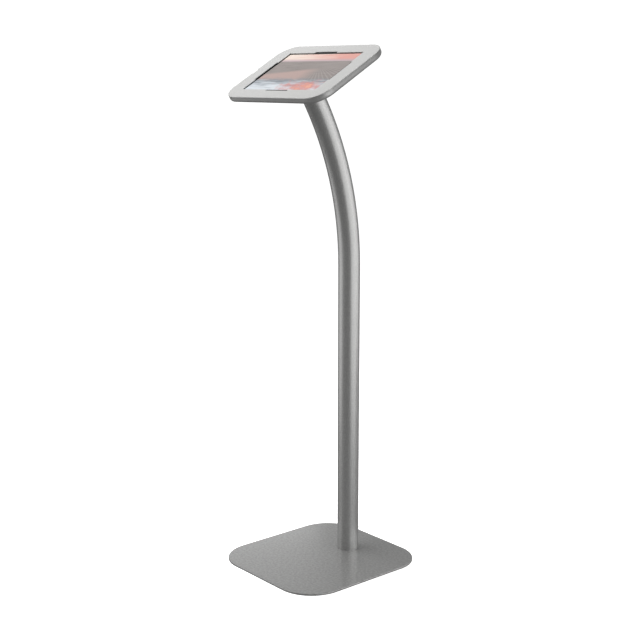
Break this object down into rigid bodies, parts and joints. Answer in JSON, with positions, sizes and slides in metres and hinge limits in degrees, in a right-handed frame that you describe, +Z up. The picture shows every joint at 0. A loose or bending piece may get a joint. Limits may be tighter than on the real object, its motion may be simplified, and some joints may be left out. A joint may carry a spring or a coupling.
{
  "type": "touchscreen kiosk",
  "caption": "Floor-standing touchscreen kiosk: a tablet in a sloping locked head on a bent tube and a rounded flat plate.",
  "frame": {"origin": "on the floor under the middle of the base plate", "axes": "+Z up, +Y from the user towards the column, +X at the user's right hand"},
  "size_m": [0.329, 0.352, 1.1309],
  "materials": {
    "grey_powder_steel": "silver-grey powder coat, fine texture, satin",
    "grey_powder_aluminium": "silver-grey powder coat, fine texture, satin",
    "zinc_steel": "zinc plated, satin",
    "black_screw": "black oxide, satin",
    "chrome_lock": "polished",
    "anodised_aluminium": "bead blasted and anodised, satin",
    "screen_glass": "gloss, black border printed behind",
    "nylon": "moulded, satin",
    "black_plastic": "moulded, satin",
    "battery_wrap": "foil wrap, satin",
    "circuit_board": "solder mask, satin",
    "foam": "closed-cell foam, matt",
    "rubber": "moulded, matt"
  },
  "bodies": {
    "stand": {"base_plate": "grey_powder_steel", "foot_pads": "rubber", "foot_boss": "zinc_steel", "column_tube": "grey_powder_steel", "column_screws": "zinc_steel", "cable_grommet": "rubber", "neck_plug": "grey_powder_steel", "neck_screws": "black_screw", "upper_washer": "nylon", "stop_pin": "zinc_steel"},
    "head": {"pivot_hub": "zinc_steel", "lower_washer": "nylon", "wave_washer": "zinc_steel", "ring_nut": "zinc_steel", "turn_plate": "grey_powder_steel", "turn_plate_screws": "black_screw", "back_tray": "grey_powder_aluminium", "tray_grommet": "rubber", "rear_pads": "foam", "corner_holders": "foam", "tablet_case": "anodised_aluminium", "tablet_glass": "screen_glass", "display_panel": "black_plastic", "battery_cells": "battery_wrap", "main_board": "circuit_board", "charging_socket": "zinc_steel", "speakers": "black_plastic", "front_camera": "black_plastic", "rear_camera": "black_plastic", "lock_bodies": "chrome_lock", "lock_nuts": "zinc_steel"},
    "faceplate": {"faceplate": "grey_powder_aluminium", "window_gasket": "foam", "catches": "zinc_steel"},
    "lock_left": {"lock_plug_left": "chrome_lock", "lock_cam_left": "zinc_steel", "lock_cam_screw_left": "zinc_steel"},
    "lock_right": {"lock_plug_right": "chrome_lock", "lock_cam_right": "zinc_steel", "lock_cam_screw_right": "zinc_steel"},
    "power_button": {"power_button": "anodised_aluminium"},
    "volume_rocker": {"volume_rocker": "anodised_aluminium"}
  },
  "joints": [
    {"name": "head_turn", "type": "hinge", "parent": "stand", "child": "head", "pos_m": [0, -0.04989, 1.07856], "axis": [0, -0.5, 0.866], "range_deg": [0, 90]},
    {"name": "faceplate_lift", "type": "slide", "parent": "head", "child": "faceplate", "axis": [0, -0.5, 0.866], "range_m": [0, 0.04]},
    {"name": "lock_left_turn", "type": "hinge", "parent": "head", "child": "lock_left", "pos_m": [-0.14075, -0.06404, 1.05307], "axis": [0, -0.5, 0.866], "range_deg": [-90, 0]},
    {"name": "lock_right_turn", "type": "hinge", "parent": "head", "child": "lock_right", "pos_m": [0.14075, -0.06404, 1.05307], "axis": [0, -0.5, 0.866], "range_deg": [0, 90]},
    {"name": "power_button_press", "type": "slide", "parent": "head", "child": "power_button", "axis": [0, -0.866, -0.5], "range_m": [0, 0.0004], "stiffness_N_per_m": 1000, "springref_m": -0.0003},
    {"name": "volume_rocker_tilt", "type": "hinge", "parent": "head", "child": "volume_rocker", "pos_m": [-0.066, 0.02328, 1.11463], "axis": [0, -0.5, 0.866], "range_deg": [-1.5, 1.5], "stiffness_Nm_per_rad": 0.4}
  ]
}
